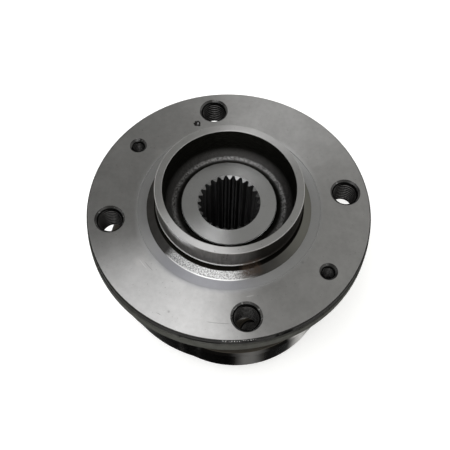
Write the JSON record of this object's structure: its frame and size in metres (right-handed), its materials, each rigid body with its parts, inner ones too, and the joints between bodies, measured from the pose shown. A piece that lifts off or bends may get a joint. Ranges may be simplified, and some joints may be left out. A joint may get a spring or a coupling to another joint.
{
  "type": "wheel hub bearing",
  "caption": "Driven wheel hub turning in a double-row ball bearing, with a wheel flange and pilot collar, a splined bore and a flange that bolts to the knuckle.",
  "frame": {"origin": "centre of the wheel seating face of the flange, on the spin axis", "axes": "+Z along the spin axis out to the wheel, +X through one wheel bolt hole"},
  "size_m": [0.1298, 0.1298, 0.0834],
  "materials": {
    "hub_steel": "turned faces, forged hollows",
    "ring_steel": "dark oiled ground steel",
    "bearing_steel": "ground",
    "ball_steel": "polished",
    "cage_nylon": "moulded nylon",
    "seal_sheet": "pressed sheet",
    "seal_rubber": "matte",
    "encoder_rubber": "matte, magnetised"
  },
  "bodies": {
    "outer_ring": {"outer_ring": "ring_steel", "outboard_seal_case": "seal_sheet", "outboard_seal_lip": "seal_rubber", "inboard_seal_case": "seal_sheet", "inboard_seal_lip": "seal_rubber"},
    "hub": {"wheel_hub": "hub_steel", "inner_ring": "bearing_steel", "inboard_slinger": "seal_sheet", "speed_encoder_ring": "encoder_rubber"},
    "cage_outboard": {"cage_outboard": "cage_nylon"},
    "cage_inboard": {"cage_inboard": "cage_nylon"},
    "ball_outboard_01": {"ball_outboard_01": "ball_steel"},
    "ball_outboard_02": {"ball_outboard_02": "ball_steel"},
    "ball_outboard_03": {"ball_outboard_03": "ball_steel"},
    "ball_outboard_04": {"ball_outboard_04": "ball_steel"},
    "ball_outboard_05": {"ball_outboard_05": "ball_steel"},
    "ball_outboard_06": {"ball_outboard_06": "ball_steel"},
    "ball_outboard_07": {"ball_outboard_07": "ball_steel"},
    "ball_outboard_08": {"ball_outboard_08": "ball_steel"},
    "ball_outboard_09": {"ball_outboard_09": "ball_steel"},
    "ball_outboard_10": {"ball_outboard_10": "ball_steel"},
    "ball_outboard_11": {"ball_outboard_11": "ball_steel"},
    "ball_outboard_12": {"ball_outboard_12": "ball_steel"},
    "ball_outboard_13": {"ball_outboard_13": "ball_steel"},
    "ball_outboard_14": {"ball_outboard_14": "ball_steel"},
    "ball_inboard_01": {"ball_inboard_01": "ball_steel"},
    "ball_inboard_02": {"ball_inboard_02": "ball_steel"},
    "ball_inboard_03": {"ball_inboard_03": "ball_steel"},
    "ball_inboard_04": {"ball_inboard_04": "ball_steel"},
    "ball_inboard_05": {"ball_inboard_05": "ball_steel"},
    "ball_inboard_06": {"ball_inboard_06": "ball_steel"},
    "ball_inboard_07": {"ball_inboard_07": "ball_steel"},
    "ball_inboard_08": {"ball_inboard_08": "ball_steel"},
    "ball_inboard_09": {"ball_inboard_09": "ball_steel"},
    "ball_inboard_10": {"ball_inboard_10": "ball_steel"},
    "ball_inboard_11": {"ball_inboard_11": "ball_steel"},
    "ball_inboard_12": {"ball_inboard_12": "ball_steel"},
    "ball_inboard_13": {"ball_inboard_13": "ball_steel"},
    "ball_inboard_14": {"ball_inboard_14": "ball_steel"}
  },
  "joints": [
    {"name": "hub_spin", "type": "hinge", "parent": "outer_ring", "child": "hub", "pos_m": [0, 0, 0], "axis": [0, 0, 1], "continuous": true},
    {"name": "cage_outboard_spin", "type": "hinge", "parent": "outer_ring", "child": "cage_outboard", "pos_m": [0, 0, -0.02645], "axis": [0, 0, 1], "continuous": true},
    {"name": "cage_inboard_spin", "type": "hinge", "parent": "outer_ring", "child": "cage_inboard", "pos_m": [0, 0, -0.04845], "axis": [0, 0, 1], "continuous": true},
    {"name": "ball_outboard_01_spin", "type": "hinge", "parent": "cage_outboard", "child": "ball_outboard_01", "pos_m": [0.031, 0, -0.02645], "axis": [0.6157, 0, 0.788], "continuous": true},
    {"name": "ball_outboard_02_spin", "type": "hinge", "parent": "cage_outboard", "child": "ball_outboard_02", "pos_m": [0.02793, 0.01345, -0.02645], "axis": [0.5547, 0.2671, 0.788], "continuous": true},
    {"name": "ball_outboard_03_spin", "type": "hinge", "parent": "cage_outboard", "child": "ball_outboard_03", "pos_m": [0.01933, 0.02424, -0.02645], "axis": [0.3839, 0.4813, 0.788], "continuous": true},
    {"name": "ball_outboard_04_spin", "type": "hinge", "parent": "cage_outboard", "child": "ball_outboard_04", "pos_m": [0.0069, 0.03022, -0.02645], "axis": [0.137, 0.6002, 0.788], "continuous": true},
    {"name": "ball_outboard_05_spin", "type": "hinge", "parent": "cage_outboard", "child": "ball_outboard_05", "pos_m": [-0.0069, 0.03022, -0.02645], "axis": [-0.137, 0.6002, 0.788], "continuous": true},
    {"name": "ball_outboard_06_spin", "type": "hinge", "parent": "cage_outboard", "child": "ball_outboard_06", "pos_m": [-0.01933, 0.02424, -0.02645], "axis": [-0.3839, 0.4813, 0.788], "continuous": true},
    {"name": "ball_outboard_07_spin", "type": "hinge", "parent": "cage_outboard", "child": "ball_outboard_07", "pos_m": [-0.02793, 0.01345, -0.02645], "axis": [-0.5547, 0.2671, 0.788], "continuous": true},
    {"name": "ball_outboard_08_spin", "type": "hinge", "parent": "cage_outboard", "child": "ball_outboard_08", "pos_m": [-0.031, 0, -0.02645], "axis": [-0.6157, 0, 0.788], "continuous": true},
    {"name": "ball_outboard_09_spin", "type": "hinge", "parent": "cage_outboard", "child": "ball_outboard_09", "pos_m": [-0.02793, -0.01345, -0.02645], "axis": [-0.5547, -0.2671, 0.788], "continuous": true},
    {"name": "ball_outboard_10_spin", "type": "hinge", "parent": "cage_outboard", "child": "ball_outboard_10", "pos_m": [-0.01933, -0.02424, -0.02645], "axis": [-0.3839, -0.4813, 0.788], "continuous": true},
    {"name": "ball_outboard_11_spin", "type": "hinge", "parent": "cage_outboard", "child": "ball_outboard_11", "pos_m": [-0.0069, -0.03022, -0.02645], "axis": [-0.137, -0.6002, 0.788], "continuous": true},
    {"name": "ball_outboard_12_spin", "type": "hinge", "parent": "cage_outboard", "child": "ball_outboard_12", "pos_m": [0.0069, -0.03022, -0.02645], "axis": [0.137, -0.6002, 0.788], "continuous": true},
    {"name": "ball_outboard_13_spin", "type": "hinge", "parent": "cage_outboard", "child": "ball_outboard_13", "pos_m": [0.01933, -0.02424, -0.02645], "axis": [0.3839, -0.4813, 0.788], "continuous": true},
    {"name": "ball_outboard_14_spin", "type": "hinge", "parent": "cage_outboard", "child": "ball_outboard_14", "pos_m": [0.02793, -0.01345, -0.02645], "axis": [0.5547, -0.2671, 0.788], "continuous": true},
    {"name": "ball_inboard_01_spin", "type": "hinge", "parent": "cage_inboard", "child": "ball_inboard_01", "pos_m": [0.031, 0, -0.04845], "axis": [-0.6157, 0, 0.788], "continuous": true},
    {"name": "ball_inboard_02_spin", "type": "hinge", "parent": "cage_inboard", "child": "ball_inboard_02", "pos_m": [0.02793, 0.01345, -0.04845], "axis": [-0.5547, -0.2671, 0.788], "continuous": true},
    {"name": "ball_inboard_03_spin", "type": "hinge", "parent": "cage_inboard", "child": "ball_inboard_03", "pos_m": [0.01933, 0.02424, -0.04845], "axis": [-0.3839, -0.4813, 0.788], "continuous": true},
    {"name": "ball_inboard_04_spin", "type": "hinge", "parent": "cage_inboard", "child": "ball_inboard_04", "pos_m": [0.0069, 0.03022, -0.04845], "axis": [-0.137, -0.6002, 0.788], "continuous": true},
    {"name": "ball_inboard_05_spin", "type": "hinge", "parent": "cage_inboard", "child": "ball_inboard_05", "pos_m": [-0.0069, 0.03022, -0.04845], "axis": [0.137, -0.6002, 0.788], "continuous": true},
    {"name": "ball_inboard_06_spin", "type": "hinge", "parent": "cage_inboard", "child": "ball_inboard_06", "pos_m": [-0.01933, 0.02424, -0.04845], "axis": [0.3839, -0.4813, 0.788], "continuous": true},
    {"name": "ball_inboard_07_spin", "type": "hinge", "parent": "cage_inboard", "child": "ball_inboard_07", "pos_m": [-0.02793, 0.01345, -0.04845], "axis": [0.5547, -0.2671, 0.788], "continuous": true},
    {"name": "ball_inboard_08_spin", "type": "hinge", "parent": "cage_inboard", "child": "ball_inboard_08", "pos_m": [-0.031, 0, -0.04845], "axis": [0.6157, 0, 0.788], "continuous": true},
    {"name": "ball_inboard_09_spin", "type": "hinge", "parent": "cage_inboard", "child": "ball_inboard_09", "pos_m": [-0.02793, -0.01345, -0.04845], "axis": [0.5547, 0.2671, 0.788], "continuous": true},
    {"name": "ball_inboard_10_spin", "type": "hinge", "parent": "cage_inboard", "child": "ball_inboard_10", "pos_m": [-0.01933, -0.02424, -0.04845], "axis": [0.3839, 0.4813, 0.788], "continuous": true},
    {"name": "ball_inboard_11_spin", "type": "hinge", "parent": "cage_inboard", "child": "ball_inboard_11", "pos_m": [-0.0069, -0.03022, -0.04845], "axis": [0.137, 0.6002, 0.788], "continuous": true},
    {"name": "ball_inboard_12_spin", "type": "hinge", "parent": "cage_inboard", "child": "ball_inboard_12", "pos_m": [0.0069, -0.03022, -0.04845], "axis": [-0.137, 0.6002, 0.788], "continuous": true},
    {"name": "ball_inboard_13_spin", "type": "hinge", "parent": "cage_inboard", "child": "ball_inboard_13", "pos_m": [0.01933, -0.02424, -0.04845], "axis": [-0.3839, 0.4813, 0.788], "continuous": true},
    {"name": "ball_inboard_14_spin", "type": "hinge", "parent": "cage_inboard", "child": "ball_inboard_14", "pos_m": [0.02793, -0.01345, -0.04845], "axis": [-0.5547, 0.2671, 0.788], "continuous": true}
  ],
  "couplings": [
    {"joint": "cage_outboard_spin", "follows": "hub_spin", "ratio": 0.42374},
    {"joint": "cage_inboard_spin", "follows": "hub_spin", "ratio": 0.42374},
    {"joint": "ball_outboard_01_spin", "follows": "hub_spin", "ratio": -2.5232},
    {"joint": "ball_outboard_02_spin", "follows": "hub_spin", "ratio": -2.5232},
    {"joint": "ball_outboard_03_spin", "follows": "hub_spin", "ratio": -2.5232},
    {"joint": "ball_outboard_04_spin", "follows": "hub_spin", "ratio": -2.5232},
    {"joint": "ball_outboard_05_spin", "follows": "hub_spin", "ratio": -2.5232},
    {"joint": "ball_outboard_06_spin", "follows": "hub_spin", "ratio": -2.5232},
    {"joint": "ball_outboard_07_spin", "follows": "hub_spin", "ratio": -2.5232},
    {"joint": "ball_outboard_08_spin", "follows": "hub_spin", "ratio": -2.5232},
    {"joint": "ball_outboard_09_spin", "follows": "hub_spin", "ratio": -2.5232},
    {"joint": "ball_outboard_10_spin", "follows": "hub_spin", "ratio": -2.5232},
    {"joint": "ball_outboard_11_spin", "follows": "hub_spin", "ratio": -2.5232},
    {"joint": "ball_outboard_12_spin", "follows": "hub_spin", "ratio": -2.5232},
    {"joint": "ball_outboard_13_spin", "follows": "hub_spin", "ratio": -2.5232},
    {"joint": "ball_outboard_14_spin", "follows": "hub_spin", "ratio": -2.5232},
    {"joint": "ball_inboard_01_spin", "follows": "hub_spin", "ratio": -2.5232},
    {"joint": "ball_inboard_02_spin", "follows": "hub_spin", "ratio": -2.5232},
    {"joint": "ball_inboard_03_spin", "follows": "hub_spin", "ratio": -2.5232},
    {"joint": "ball_inboard_04_spin", "follows": "hub_spin", "ratio": -2.5232},
    {"joint": "ball_inboard_05_spin", "follows": "hub_spin", "ratio": -2.5232},
    {"joint": "ball_inboard_06_spin", "follows": "hub_spin", "ratio": -2.5232},
    {"joint": "ball_inboard_07_spin", "follows": "hub_spin", "ratio": -2.5232},
    {"joint": "ball_inboard_08_spin", "follows": "hub_spin", "ratio": -2.5232},
    {"joint": "ball_inboard_09_spin", "follows": "hub_spin", "ratio": -2.5232},
    {"joint": "ball_inboard_10_spin", "follows": "hub_spin", "ratio": -2.5232},
    {"joint": "ball_inboard_11_spin", "follows": "hub_spin", "ratio": -2.5232},
    {"joint": "ball_inboard_12_spin", "follows": "hub_spin", "ratio": -2.5232},
    {"joint": "ball_inboard_13_spin", "follows": "hub_spin", "ratio": -2.5232},
    {"joint": "ball_inboard_14_spin", "follows": "hub_spin", "ratio": -2.5232}
  ]
}
